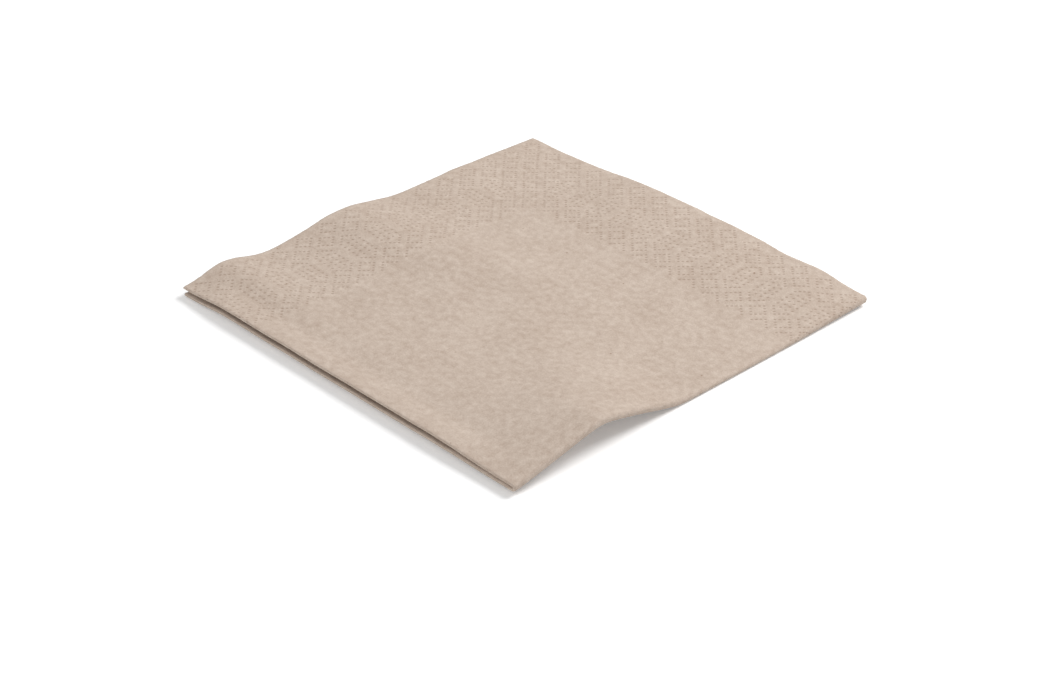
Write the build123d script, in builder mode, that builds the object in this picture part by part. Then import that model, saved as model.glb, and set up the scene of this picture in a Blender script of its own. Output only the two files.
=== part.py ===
"""A paper napkin: one square sheet of two-ply tissue, folded twice into a quarter.

The first fold runs along the front edge (-Y) and the second along the right edge (+X), where the
outer half of the sheet wraps round the inner half. The loose edges are at the back (+Y) and left (-X).
Near the front, the napkin lifts off the table in one low arch that reaches from left to right.
The origin is the middle of the folded napkin, on the table, and +Z is up. Millimetres.
"""
from build123d import *
import math
import os

# The sheet
sheet_side = 330.0  # the open square
sheet_thickness = 0.30  # two plies, as they lie loose

# The folds
first_fold_gap = 0.35  # between the two layers that the first fold joins
second_fold_gap = 0.50  # between the two halves that the second fold joins

# The low arch
arch_lift = 9.4  # height of its crest above the flat part
arch_half_width = 37.0  # from either foot to the crest
arch_margin = 3.5  # from the front fold to the nearer foot

# Worked out from the sizes above
half_side = sheet_side / 4
first_fold_radius = (first_fold_gap + sheet_thickness) / 2
inner_radius = (second_fold_gap + sheet_thickness) / 2
pair_radius = inner_radius + first_fold_radius
outer_radius = inner_radius + 2 * first_fold_radius
mid_height = outer_radius + sheet_thickness / 2

first_fold_y = -half_side + first_fold_radius + sheet_thickness / 2
second_fold_x = half_side - mid_height
straight_run = half_side + second_fold_x

front_foot_y = -half_side + arch_margin
back_foot_y = front_foot_y + 2 * arch_half_width
arch_slope = math.degrees(2 * math.atan(arch_lift / arch_half_width))
arch_radius = arch_half_width / (2 * math.sin(math.radians(arch_slope)))


def folded_strip(middle_radius, run):
    """Draw the sheet's section at a fold: a run in, half a turn about the origin, and a run back."""
    inside = middle_radius - sheet_thickness / 2
    outside = middle_radius + sheet_thickness / 2
    with BuildSketch() as strip:
        with BuildLine():
            outer_bend = TangentArc((0, -outside), (0, outside), tangent=(1, 0))
            inner_bend = TangentArc((0, -inside), (0, inside), tangent=(1, 0))
            if run:
                Polyline(outer_bend @ 0, (-run, -outside), (-run, -inside), inner_bend @ 0)
                Polyline(outer_bend @ 1, (-run, outside), (-run, inside), inner_bend @ 1)
            else:
                Line(outer_bend @ 0, inner_bend @ 0)
                Line(outer_bend @ 1, inner_bend @ 1)
        make_face()
    return strip.sketch


with BuildPart() as napkin:
    # The four layers and the second fold: two nested strips, carried from the back edge
    # over the arch to the first fold.
    with BuildLine(Plane.YZ.offset(second_fold_x)) as over_the_arch:
        flat_part = Line((half_side, mid_height), (back_foot_y, mid_height))
        rise = JernArc(flat_part @ 1, flat_part % 1, arch_radius, -arch_slope)
        crest = JernArc(rise @ 1, rise % 1, arch_radius, 2 * arch_slope)
        descent = JernArc(crest @ 1, crest % 1, arch_radius, -arch_slope)
        Line(descent @ 1, (first_fold_y, mid_height))
    back_edge = Plane(origin=(second_fold_x, half_side, mid_height), x_dir=(1, 0, 0), z_dir=(0, -1, 0))
    with BuildSketch(back_edge) as layers:
        add(folded_strip(outer_radius, straight_run))
        add(folded_strip(inner_radius, straight_run))
    sweep(sections=layers.sketch, path=over_the_arch.line)

    # The first fold: a half ring that runs along the front edge below, turns round the second
    # fold and runs back above, so that it closes both pairs of layers.
    with BuildLine(Plane.XZ.offset(-first_fold_y)) as round_the_corner:
        below = Line((-half_side, mid_height - pair_radius), (second_fold_x, mid_height - pair_radius))
        corner = JernArc(below @ 1, below % 1, pair_radius, 180)
        Line(corner @ 1, (-half_side, mid_height + pair_radius))
    left_edge = Plane(
        origin=(-half_side, first_fold_y, mid_height - pair_radius), x_dir=(0, -1, 0), z_dir=(1, 0, 0)
    )
    with BuildSketch(left_edge) as front_fold:
        add(folded_strip(first_fold_radius, 0))
    sweep(sections=front_fold.sketch, path=round_the_corner.line)

napkin.part.label = "napkin"

os.makedirs("parts", exist_ok=True)
export_step(napkin.part, "parts/napkin.step")
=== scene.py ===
"""A paper napkin: one square sheet of embossed tissue, folded into a quarter, lying on a table.

The sheet is worked out on a square lattice of cells. Index i counts cells across the second fold, from
the left loose edge of the lowest layer (-300) over the fold (0) to the left edge of the top layer (300).
Index j does the same across the first fold: j > 0 is the outer half of the sheet, which is the top and
bottom layer, and j < 0 the inner half. Shapes are in millimetres until they go into the mesh.
"""
import math

import bpy
import numpy as np
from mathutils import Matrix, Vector


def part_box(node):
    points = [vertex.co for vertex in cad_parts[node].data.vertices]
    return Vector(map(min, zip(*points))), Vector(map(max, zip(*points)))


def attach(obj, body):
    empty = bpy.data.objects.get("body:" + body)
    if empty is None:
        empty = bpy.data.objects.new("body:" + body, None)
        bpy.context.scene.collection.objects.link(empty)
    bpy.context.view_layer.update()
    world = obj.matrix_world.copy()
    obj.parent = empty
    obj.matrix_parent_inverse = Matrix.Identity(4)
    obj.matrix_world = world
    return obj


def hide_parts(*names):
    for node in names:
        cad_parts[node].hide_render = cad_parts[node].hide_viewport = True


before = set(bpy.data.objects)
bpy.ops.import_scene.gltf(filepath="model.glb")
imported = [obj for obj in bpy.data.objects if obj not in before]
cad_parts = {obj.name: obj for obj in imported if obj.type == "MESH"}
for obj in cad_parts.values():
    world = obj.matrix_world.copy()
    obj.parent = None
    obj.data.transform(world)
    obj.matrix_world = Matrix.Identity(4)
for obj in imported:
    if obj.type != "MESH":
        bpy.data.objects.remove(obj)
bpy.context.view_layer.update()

# ---------------------------------------------------------------- sizes, in millimetres

METRES = 0.001
box_low, box_high = (np.array(corner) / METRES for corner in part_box("napkin"))
HALF = (box_high[0] - box_low[0]) / 2  # half the folded side
CELLS = 300  # lattice cells along one folded side
CELL = 2 * HALF / CELLS
SHEET = 0.30  # thickness of the two plies

BEND_1, REACH_1 = 4, 0.45  # first fold: cells on each side of its crease, and how far its nose reaches
BEND_2, REACH_2 = 6, 0.80  # second fold: the same, for the middle of the doubled sheet
SPREAD_2 = 0.40  # how much further the outer layer reaches than that, and the inner layer less
FOLD_1_Y = -HALF + REACH_1 + SHEET / 2
FOLD_2_X = HALF - REACH_2 - SPREAD_2 - SHEET / 2
EDGE_CELLS = 80  # cells next to a loose edge that keep their exact size

REST_HEIGHT = 3.6  # height of the top surface where no wave lifts it
LEAST_HEIGHT = 2.1  # all four layers pressed together

# Waves of the edges: middle, height, width across, reach inwards, turn in degrees, flatness of the top
EDGE_WAVES = (
    ((-HALF, -13.0), 4.5, 13.0, 42.0, 14, 2),
    ((-HALF, -65.0), 3.6, 8.0, 24.0, 4, 2),
    ((-HALF, 38.0), 1.1, 17.0, 28.0, -8, 2),
    ((2.0, HALF), 2.9, 37.0, 26.0, -90, 4),
    ((61.0, HALF), 2.0, 8.0, 20.0, -96, 2),
    ((HALF, 20.0), -3.2, 22.0, 30.0, 0, 2),
)
CREASES = ((-41.0, -50, 46), (-12.0, -50, HALF))  # x, and from y to y
CREASE_DEPTH, CREASE_WIDTH, CREASE_FADE = 0.22, 1.7, 12

DOT_CELLS = 2  # the embossed dots sit on every second lattice line
DOT_DEPTH = 0.24


# ---------------------------------------------------------------- the sheet's shape

def smooth_step(value, low, high):
    """0 below low, 1 above high, and 3t^2 - 2t^3 between them."""
    t = np.clip((value - low) / (high - low), 0, 1)
    return t * t * (3 - 2 * t)


def smooth_max(first, second, softness):
    """The larger of two heights, with the corner between them rounded over the softness."""
    return 0.5 * (first + second + np.sqrt((first - second) ** 2 + softness ** 2))


def mound(x, y, centre, height, across, along, turn=0.0, power=2.0):
    """A rise of a given height that falls off as exp(-(u/across)^power / 2 - (v/along)^2 / 2), where v
    runs inwards along the turned x axis and u runs across it."""
    angle = math.radians(turn)
    dx, dy = x - centre[0], y - centre[1]
    along_it = dx * math.cos(angle) + dy * math.sin(angle)
    across_it = dy * math.cos(angle) - dx * math.sin(angle)
    return height * np.exp(-np.abs(across_it / across) ** power / 2 - (along_it / along) ** 2 / 2)


def ripples(x, y, seed, shortest, longest, count=28):
    """Irregular soft waves between -1 and 1 or so: a sum of cosines with random directions, phases and
    lengths between the shortest and the longest."""
    draw = np.random.default_rng(seed)
    heading = draw.uniform(0, 2 * math.pi, count)
    turns = 2 * math.pi / np.exp(draw.uniform(math.log(shortest), math.log(longest), count))
    phase = draw.uniform(0, 2 * math.pi, count)
    total = np.zeros_like(x)
    for k in range(count):
        total += np.cos(turns[k] * (x * math.cos(heading[k]) + y * math.sin(heading[k])) + phase[k])
    return total / math.sqrt(count / 2) / 2


def arch(x, y):
    """The lift in the second fold: a rounded tent along the fold, whose two slopes fall from the crest at
    different rates, and which dies away inwards as a bell curve."""
    crest, height = -44.5, 8.6
    front_toe, back_toe = 38.0, 36.0
    slope = np.where(y < crest, (crest - y) / front_toe, (y - crest) / back_toe)
    tent = height * (1 - np.sqrt(slope ** 2 + 0.012))
    lift = smooth_max(tent, 0.0, 0.9)
    reach = 24.0 + 10.0 * smooth_step(y, crest, -5.0)
    return lift * np.exp(-((HALF - x) / reach) ** 2 / 2)


def top_height(x, y):
    """Height of the top surface: a level rest height, the arch, and the waves of the loose edges."""
    height = REST_HEIGHT + arch(x, y)
    for wave in EDGE_WAVES:
        height += mound(x, y, *wave)
    from_fold = y + HALF
    middle = smooth_step(x, -HALF, -58) * (1 - smooth_step(x, 38, HALF))
    height += 1.7 * middle * np.exp(-(from_fold / 7.0) ** 2 / 2)
    height -= 0.7 * middle * np.exp(-((from_fold - 11.0) / 3.6) ** 2 / 2)
    for crease_x, from_y, to_y in CREASES:
        along = smooth_step(y, from_y - CREASE_FADE, from_y + CREASE_FADE)
        along = along * (1 - smooth_step(y, to_y - CREASE_FADE, to_y + CREASE_FADE))
        height -= CREASE_DEPTH * along * np.exp(-((x - crease_x) / CREASE_WIDTH) ** 2)
    height += 0.16 * ripples(x, y, 11, 22, 60) + 0.05 * ripples(x, y, 12, 7, 16)
    return smooth_max(height, LEAST_HEIGHT, 0.7)


def underside_height(x, y, top):
    """Height of the underside: the table, except where the folds carry the whole thickness up."""
    from_first, from_second = y + HALF, HALF - x
    allowed = 2.8 + 0.7 * smooth_step(from_second, 0, 40)
    allowed = allowed + 9.0 * smooth_step(from_first, -4, 34) * smooth_step(from_second, -2, 62)
    return np.maximum(smooth_max(top - allowed, 0.0, 0.5) - 0.02, 0.0)


def layer_heights(x, y):
    """Middle heights and spacings of the two doubled layers, lower and upper: the thickness between the
    underside and the top is shared out, evenly at the folds and unevenly towards the loose edges."""
    top = top_height(x, y)
    under = underside_height(x, y, top)
    room = top - under - SHEET
    near_first = 1 - smooth_step(y + HALF, 1, 30)
    near_second = 1 - smooth_step(HALF - x, 2, 34)
    lower_share = 0.25 + 0.07 * ripples(x, y, 21, 40, 90)
    upper_share = 0.27 + 0.08 * ripples(x, y, 22, 30, 80)
    at_first = np.minimum(0.34 * room, 0.85)
    at_second = 0.33 * room
    spacings = []
    for share in (lower_share, upper_share):
        spacing = share * room * (1 - near_first) + at_first * near_first
        spacings.append(spacing * (1 - near_second) + at_second * near_second)
    lower_gap, upper_gap = spacings
    lower = under + SHEET / 2 + lower_gap / 2
    upper = top - SHEET / 2 - upper_gap / 2
    return lower, upper, lower_gap, upper_gap


def place(i, j):
    """Point of the sheet's middle surface at lattice position (i, j).

    Away from the folds, a layer lies at its own height over (x, y). Round the second fold the angle a goes
    from -90 to 90 degrees with i, and z = centre + (radius + offset) sin a, x = fold + reach cos a. Round
    the first fold the angle b does the same with j, and the offset from the middle of the doubled sheet
    is half its spacing times sin b."""
    turn_2 = np.clip(i / BEND_2, -1, 1) * math.pi / 2
    turn_1 = np.clip(j / BEND_1, -1, 1) * math.pi / 2
    start_of_edge = HALF - EDGE_CELLS * CELL
    x = np.interp(np.abs(i), [BEND_2, CELLS - EDGE_CELLS, CELLS], [FOLD_2_X, -start_of_edge, -HALF])
    y = np.interp(np.abs(j), [BEND_1, CELLS - EDGE_CELLS, CELLS], [FOLD_1_Y, start_of_edge, HALF])
    x, y = cut_edges(i, j, x, y)
    y = y - REACH_1 * np.cos(turn_1)
    lower, upper, lower_gap, upper_gap = layer_heights(x, y)
    offset = np.where(i > 0, upper_gap, lower_gap) / 2 * np.sin(turn_1)
    z = (upper + lower) / 2 + ((upper - lower) / 2 + offset) * np.sin(turn_2)
    x = x + (REACH_2 + SPREAD_2 * np.sin(turn_1)) * np.cos(turn_2)
    return np.stack([x, y, z], axis=-1)


def cut_edges(i, j, x, y):
    """Move the loose edges a little: each layer's edge is off by a few tenths, and the cut wanders."""
    layer = 2.0 * (i > 0) + 1.0 * (j > 0)
    near_left = smooth_step(np.abs(i), 150, CELLS)
    near_back = smooth_step(np.abs(j), 150, CELLS)
    x = x + near_left * (0.45 * np.sin(2.1 * layer + 0.4) * (layer < 3) + 0.22 * ripples(y, y, 31, 18, 70))
    y = y + near_back * (0.55 * np.sin(1.7 * layer + 2.0) * (layer < 3) + 0.22 * ripples(x, x, 32, 18, 70))
    rough_left = smooth_step(np.abs(i), CELLS - 3, CELLS)
    rough_back = smooth_step(np.abs(j), CELLS - 3, CELLS)
    x = x + 0.07 * rough_left * ripples(y + 40 * layer, y, 33, 1.2, 5)
    y = y + 0.07 * rough_back * ripples(x + 40 * layer, x, 34, 1.2, 5)
    return x, y


def outward(i, j):
    """Unit normal of the sheet, on the side that is outside after folding: the cross product of the
    steps along j and along i, each taken over a small part of a cell."""
    step = 0.2
    along_i = place(i + step, j) - place(i - step, j)
    along_j = place(i, j + step) - place(i, j - step)
    normal = np.cross(along_j, along_i)
    return normal / np.linalg.norm(normal, axis=-1, keepdims=True)


# ---------------------------------------------------------------- the embossed border

RING = 3  # a ring of dots reaches this many dot lines from its centre
HALF_REPEAT = 5  # dot lines between neighbouring ring centres
LINK_START, LINK_END = 3, 5  # rows of ring centres that a long link joins
LINKS_FROM = 7  # first row, counted from the corner, where rings give way to links
LAST_ROW = 7  # the innermost row, of half rings


def dots(i, j):
    """1 where a lattice point carries an embossed dot, else 0.

    Rings of twelve dots, each a square on its corner with |da| + |db| = 3, stand in a chequered net of
    centres. Away from the corner, the third to fifth rows become long links: the outer half of one ring,
    two outer and two inner columns of dots, and the inner half of another ring."""
    a, b = (CELLS - np.abs(i)) / DOT_CELLS, (CELLS - np.abs(j)) / DOT_CELLS
    on_line = (a == np.round(a)) & (b == np.round(b))
    found = np.zeros(np.shape(a), bool)
    for start in (0, HALF_REPEAT):
        centre_a = 2 * HALF_REPEAT * np.round((a - start) / (2 * HALF_REPEAT)) + start
        centre_b = 2 * HALF_REPEAT * np.round((b - start) / (2 * HALF_REPEAT)) + start
        row_a, row_b = centre_a / HALF_REPEAT, centre_b / HALF_REPEAT
        in_ring = np.abs(a - centre_a) + np.abs(b - centre_b) == RING
        depth, row, other = np.minimum(a, b), np.minimum(row_a, row_b), np.maximum(row_a, row_b)
        centre_depth = HALF_REPEAT * row
        linked = other >= LINKS_FROM
        inner_half, outer_half = depth >= centre_depth, depth <= centre_depth
        whole = (row >= 1) & (row < LAST_ROW) & ~(linked & (row >= LINK_START) & (row <= LINK_END))
        halves = linked & (((row == LINK_START) & outer_half) | ((row == LINK_END) & inner_half))
        innermost = (row == LAST_ROW) & outer_half
        found |= in_ring & (whole | halves | innermost)
    for deep, along in ((a, b), (b, a)):
        link = 2 * HALF_REPEAT * np.round((along - HALF_REPEAT) / (2 * HALF_REPEAT)) + HALF_REPEAT
        beside = np.abs(along - link)
        nearest, deepest = LINK_START * HALF_REPEAT, LINK_END * HALF_REPEAT
        in_link = (deep >= nearest) & (deep <= deepest) & (link >= LINKS_FROM * HALF_REPEAT)
        outer_column = (beside == RING) & ((deep - nearest) % 2 == 0)
        inner_column = (beside == 1) & ((deep - nearest) % 2 == 1)
        found |= in_link & (outer_column | inner_column)
    return (found & on_line).astype(float)


# ---------------------------------------------------------------- the sheet's mesh

EDGE_LINES = (-300, -292, -224, -8, 8, 224, 292, 300)  # where the cell size may change
FOLD_BAND, CENTRE, BORDER, RIM = range(4)
BAND_OF_LINE = (RIM, BORDER, CENTRE, FOLD_BAND, CENTRE, BORDER, RIM)


def cell_size(band_i, band_j, is_top, is_bottom):
    """Cells across and along for one block: one lattice cell where dots show on top, two on the
    underside's border, wider in the hidden layers, and narrow across the folds."""
    wide = {FOLD_BAND: 8, CENTRE: 8, BORDER: 4, RIM: 2}
    if is_top:
        wide = {FOLD_BAND: 2, CENTRE: 2, BORDER: 1, RIM: 1}
    elif is_bottom:
        wide = {FOLD_BAND: 4, CENTRE: 4, BORDER: 2, RIM: 2}
    size = min(wide[band_i], wide[band_j])
    across_fold = 1 if (is_top or is_bottom) else 2
    size_i = min(size, across_fold) if band_i == FOLD_BAND else size
    size_j = min(size, across_fold) if band_j == FOLD_BAND else size
    return size_i, size_j


def blocks(outside):
    """Yield (first i, first j, size i, size j) arrays for every cell of one side of the sheet."""
    for low_i, high_i, band_i in zip(EDGE_LINES, EDGE_LINES[1:], BAND_OF_LINE):
        for low_j, high_j, band_j in zip(EDGE_LINES, EDGE_LINES[1:], BAND_OF_LINE):
            is_top = outside and high_i > 0 and high_j > 0
            is_bottom = outside and not is_top and high_j > 0
            size_i, size_j = cell_size(band_i, band_j, is_top, is_bottom)
            i, j = np.meshgrid(np.arange(low_i, high_i, size_i), np.arange(low_j, high_j, size_j))
            yield i.ravel(), j.ravel(), size_i, size_j


def walk(size_i, size_j):
    """Lattice steps round a cell, anticlockwise in (i, j), starting from its lowest corner."""
    steps = [(k, 0) for k in range(size_i)] + [(size_i, k) for k in range(size_j)]
    steps += [(size_i - k, size_j) for k in range(size_i)] + [(0, size_j - k) for k in range(size_j)]
    return np.array(steps)


def one_side(outside):
    """Lattice points and faces of one side. A cell's face takes in every point that a finer neighbour
    puts on its outline, so that the cells of different sizes meet without a gap."""
    cells = list(blocks(outside))
    used = np.zeros((2 * CELLS + 1, 2 * CELLS + 1), bool)
    for i, j, size_i, size_j in cells:
        for di, dj in ((0, 0), (size_i, 0), (size_i, size_j), (0, size_j)):
            used[i + di + CELLS, j + dj + CELLS] = True
    number = np.cumsum(used.ravel()).reshape(used.shape) - 1
    corners, counts = [], []
    for i, j, size_i, size_j in cells:
        steps = walk(size_i, size_j)
        if outside:
            steps = steps[::-1]
        at = (i[:, None] + steps[:, 0] + CELLS, j[:, None] + steps[:, 1] + CELLS)
        there = used[at]
        corners.append(number[at][there])
        counts.append(there.sum(axis=1))
    points = np.argwhere(used) - CELLS
    return points, np.concatenate(corners), np.concatenate(counts), used, number


def rim_faces(outer, inner, shift):
    """Faces that close the sheet along its four cut edges, from the outer side's points to the inner's."""
    corners, counts = [], []
    (used_out, number_out), (used_in, number_in) = outer, inner
    run = np.arange(-CELLS, CELLS, 2) + CELLS
    last = 2 * CELLS
    for fixed_i, end, flip in ((True, last, False), (True, 0, True), (False, last, True), (False, 0, False)):
        ahead = run[:, None] + np.array([0, 1, 2])
        back = run[:, None] + np.array([2, 1, 0])
        end_ahead, end_back = np.full_like(ahead, end), np.full_like(back, end)
        there = (end_ahead, ahead) if fixed_i else (ahead, end_ahead)
        here = (end_back, back) if fixed_i else (back, end_back)
        mask = np.hstack([used_out[there], used_in[here]])
        ring = np.hstack([number_out[there], number_in[here] + shift])
        if flip:
            mask, ring = mask[:, ::-1], ring[:, ::-1]
        corners.append(ring[mask])
        counts.append(mask.sum(axis=1))
    return np.concatenate(corners), np.concatenate(counts)


def build_sheet(name):
    """The folded sheet as one closed mesh, with its flat position as UV map and the dots as attribute."""
    outer_points, outer_corners, outer_counts, *outer = one_side(True)
    inner_points, inner_corners, inner_counts, *inner = one_side(False)
    shift = len(outer_points)
    rim_corners, rim_counts = rim_faces(outer, inner, shift)

    lattice = np.vstack([outer_points, inner_points]).astype(float)
    side = np.concatenate([np.ones(shift), -np.ones(len(inner_points))])
    i, j = lattice.T
    pressed = dots(i, j) * (j > 0) * (side > 0)
    lift = side * SHEET / 2 - DOT_DEPTH * pressed
    points = (place(i, j) + outward(i, j) * lift[:, None]) * METRES

    corners = np.concatenate([outer_corners, inner_corners + shift, rim_corners])
    counts = np.concatenate([outer_counts, inner_counts, rim_counts])
    mesh = bpy.data.meshes.new(name)
    mesh.vertices.add(len(points))
    mesh.vertices.foreach_set("co", points.ravel())
    mesh.loops.add(len(corners))
    mesh.loops.foreach_set("vertex_index", corners)
    mesh.polygons.add(len(counts))
    mesh.polygons.foreach_set("loop_start", np.cumsum(counts) - counts)
    smooth = np.ones(len(counts), bool)
    smooth[-len(rim_counts):] = False
    mesh.polygons.foreach_set("use_smooth", smooth)
    flat = mesh.uv_layers.new(name="flat")
    flat.data.foreach_set("uv", ((lattice[corners] + CELLS) / (2 * CELLS)).ravel())
    emboss = mesh.attributes.new("emboss", "FLOAT", "POINT")
    emboss.data.foreach_set("value", pressed)
    mesh.update()
    mesh.validate()
    piece = bpy.data.objects.new(name, mesh)
    bpy.context.collection.objects.link(piece)
    return piece


# ---------------------------------------------------------------- materials

class Value:
    """A shader socket that can be used in arithmetic: each operator adds one Math node."""

    def __init__(self, recipe, socket):
        self.recipe, self.socket = recipe, socket

    def math(self, operation, *others):
        return self.recipe.node("Math", {"operation": operation}, dict(enumerate((self, *others))))

    def __add__(self, other):
        return self.math("ADD", other)

    def __sub__(self, other):
        return self.math("SUBTRACT", other)

    def __rsub__(self, other):
        return self.recipe.node("Math", {"operation": "SUBTRACT"}, {0: other, 1: self})

    def __mul__(self, other):
        return self.math("MULTIPLY", other)

    __radd__ = __add__
    __rmul__ = __mul__

    def between(self, low, high):
        """0 at low, 1 at high, smoothly."""
        settings = {"interpolation_type": "SMOOTHSTEP"}
        return self.recipe.node("MapRange", settings, {0: self, 1: low, 2: high, 3: 0.0, 4: 1.0})


class Recipe:
    """The nodes of a material or a world, and the one method that adds to them."""

    def __init__(self, owner):
        self.owner = owner
        owner.use_nodes = True
        self.tree = owner.node_tree
        self.tree.nodes.clear()

    def node(self, kind, settings=None, inputs=None, output=0):
        """Add a node: its settings first, then the values or links of its sockets."""
        made = self.tree.nodes.new("ShaderNode" + kind)
        for setting, value in (settings or {}).items():
            setattr(made, setting, value)
        for key, value in (inputs or {}).items():
            if isinstance(value, Value):
                self.tree.links.new(value.socket, made.inputs[key])
            else:
                made.inputs[key].default_value = value
        return Value(self, made.outputs[output]) if made.outputs else None

    def noise(self, where, size, detail=2.0, roughness=0.5, distortion=0.0):
        """Noise whose features are about the given size across, in the units of where."""
        inputs = {"Vector": where, "Scale": 1 / size, "Detail": detail,
                  "Roughness": roughness, "Distortion": distortion}
        return self.node("TexNoise", {}, inputs)

    def blend(self, factor, first, second, kind="MIX"):
        """Mix two colours."""
        settings = {"data_type": "RGBA", "blend_type": kind}
        return self.node("Mix", settings, {0: factor, 6: first, 7: second}, output=2)


PULP_DARK, PULP_LIGHT = (0.455, 0.355, 0.285, 1), (0.625, 0.525, 0.445, 1)
# The dots' colour stands partly for the darker pressed paper and partly for painted shade in their pits.
PRESSED_DOT_AND_PAINTED_SHADE, FLECK_BROWN = (0.36, 0.26, 0.20, 1), (0.25, 0.15, 0.09, 1)


def tissue():
    """Unbleached two-ply tissue: cloudy pulp, fine fibres, a few flecks and pressed dots, whose darker
    colour is partly the pressed paper and partly painted shade of their pits.
    """
    recipe = Recipe(bpy.data.materials.new("tissue"))
    uv = recipe.node("UVMap", {"uv_map": "flat"})
    flat = recipe.node("VectorMath", {"operation": "SCALE"}, {0: uv, "Scale": 4 * HALF})

    cloud = recipe.noise(flat, 2.6, detail=3.0, roughness=0.6)
    patch = recipe.noise(flat, 17.0, detail=2.0)
    grain = recipe.noise(flat, 0.55, detail=2.0, roughness=0.6)
    fibre = recipe.noise(flat, 1.9, detail=1.0, distortion=1.2)
    fibres = 1.0 - (fibre - 0.5).math("ABSOLUTE").between(0.0, 0.02)

    spots = recipe.node("TexVoronoi", {}, {"Vector": flat, "Scale": 1 / 7.0})
    chance = recipe.node("TexVoronoi", {}, {"Vector": flat, "Scale": 1 / 7.0}, output=1)
    lucky = recipe.node("SeparateColor", {}, {0: chance})
    fleck = (1.0 - spots.between(0.03, 0.06)) * lucky.between(0.6, 0.64)

    emboss = recipe.node("Attribute", {"attribute_name": "emboss"}, {}, output=2)
    pressed = emboss.between(0.08, 0.55)

    tone = 0.5 + (cloud - 0.5) * 1.7 + (patch - 0.5) * 0.6 + (grain - 0.5) * 1.3 + fibres * 0.05
    colour = recipe.blend(tone, PULP_DARK, PULP_LIGHT)
    # Painted shade: the dots are darkened in colour, partly for the pressed paper and partly for the shade
    # in their pits.
    colour = recipe.blend(pressed * 0.75, colour, PRESSED_DOT_AND_PAINTED_SHADE)
    colour = recipe.blend(fleck * 0.7, colour, FLECK_BROWN)

    height = (cloud - 0.5) * 0.10 + (grain - 0.5) * 0.05 + fibres * 0.01 - pressed * 0.05
    normal = recipe.node("Bump", {}, {"Strength": 0.8, "Distance": METRES, "Height": height})
    shader = recipe.node("BsdfPrincipled", {}, {
        "Base Color": colour, "Roughness": 0.95, "Specular IOR Level": 0.15,
        "Sheen Weight": 0.06, "Sheen Roughness": 0.6, "Normal": normal})
    recipe.node("OutputMaterial", {}, {"Surface": shader})
    return recipe.owner


def seen_directly(recipe):
    """1 for what the camera sees, itself or mirrored, and 0 for light on its way elsewhere."""
    camera = recipe.node("LightPath")
    mirrored = recipe.node("LightPath", output=3)
    return camera.math("MAXIMUM", mirrored)


def bright_floor():
    """A white floor that keeps the shadow. What the camera sees gets a little light of its own."""
    recipe = Recipe(bpy.data.materials.new("white_floor"))
    diffuse = recipe.node("BsdfDiffuse", {}, {"Color": (0.93, 0.93, 0.93, 1)})
    glow = recipe.node("Emission", {}, {"Color": (1, 1, 1, 1), "Strength": 0.2})
    glowing = recipe.node("AddShader", {}, {0: diffuse, 1: glow})
    floor = recipe.node("MixShader", {}, {0: seen_directly(recipe), 1: diffuse, 2: glowing})
    recipe.node("OutputMaterial", {}, {"Surface": floor})
    return recipe.owner


# ---------------------------------------------------------------- camera, light and floor

CAMERA_TURN, CAMERA_RISE = 46.474, 31.615  # degrees round from the front, and up
CAMERA_DISTANCE = 831.8  # millimetres from the point it is aimed at
CAMERA_AIM = (17.3, -16.2, REST_HEIGHT - 8.53)
SKY_LIGHT = 0.36
FLOOR_REACH = 1.4  # metres from the middle to each side
# Lamps: place and width in metres, then watts
KEY_LAMP = ((0.30, 0.90, 1.05), 0.8, 16.5)
FILL_LAMP = ((-0.2, -1.2, 0.9), 1.4, 7)


def aim(thing, place_at, target):
    """Put a camera or lamp at a place and point it at the target, upright."""
    thing.location = place_at
    thing.rotation_euler = (Vector(target) - Vector(place_at)).to_track_quat("-Z", "Y").to_euler()


def add_camera():
    azimuth, elevation = math.radians(CAMERA_TURN), math.radians(CAMERA_RISE)
    target = np.array(CAMERA_AIM)
    back = np.array([math.sin(azimuth) * math.cos(elevation),
                     -math.cos(azimuth) * math.cos(elevation), math.sin(elevation)])
    data = bpy.data.cameras.new("camera")
    data.lens, data.sensor_width = 85.2, 36.0
    data.clip_start, data.clip_end = 0.05, 20
    camera = bpy.data.objects.new("camera", data)
    bpy.context.collection.objects.link(camera)
    aim(camera, (target + back * CAMERA_DISTANCE) * METRES, target * METRES)
    bpy.context.scene.camera = camera


def add_lamp(name, place_at, width, watts):
    data = bpy.data.lights.new(name, "AREA")
    data.shape, data.size, data.energy = "DISK", width, watts
    lamp = bpy.data.objects.new(name, data)
    bpy.context.collection.objects.link(lamp)
    aim(lamp, place_at, (0, 0, 0))


def add_world():
    """White where it is seen, and a softer white as light."""
    world = bpy.data.worlds.new("studio")
    bpy.context.scene.world = world
    recipe = Recipe(world)
    soft = recipe.node("Background", {}, {"Color": (1, 1, 1, 1), "Strength": SKY_LIGHT})
    white = recipe.node("Background", {}, {"Color": (1, 1, 1, 1), "Strength": 1.0})
    shown = recipe.node("MixShader", {}, {0: seen_directly(recipe), 1: soft, 2: white})
    recipe.node("OutputWorld", {}, {"Surface": shown})


def add_floor():
    mesh = bpy.data.meshes.new("floor")
    far = FLOOR_REACH
    corners = [(-far, -far, 0), (far, -far, 0), (far, far, 0), (-far, far, 0)]
    mesh.from_pydata(corners, [], [(0, 1, 2, 3)])
    floor = bpy.data.objects.new("floor", mesh)
    bpy.context.collection.objects.link(floor)
    mesh.materials.append(bright_floor())


# ---------------------------------------------------------------- the scene

add_camera()
add_world()
add_floor()
add_lamp("key", *KEY_LAMP)
add_lamp("fill", *FILL_LAMP)

sheet = build_sheet("napkin_sheet")
sheet.data.materials.append(tissue())
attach(sheet, "root")
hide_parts("napkin")

bpy.context.scene.view_settings.view_transform = "Standard"
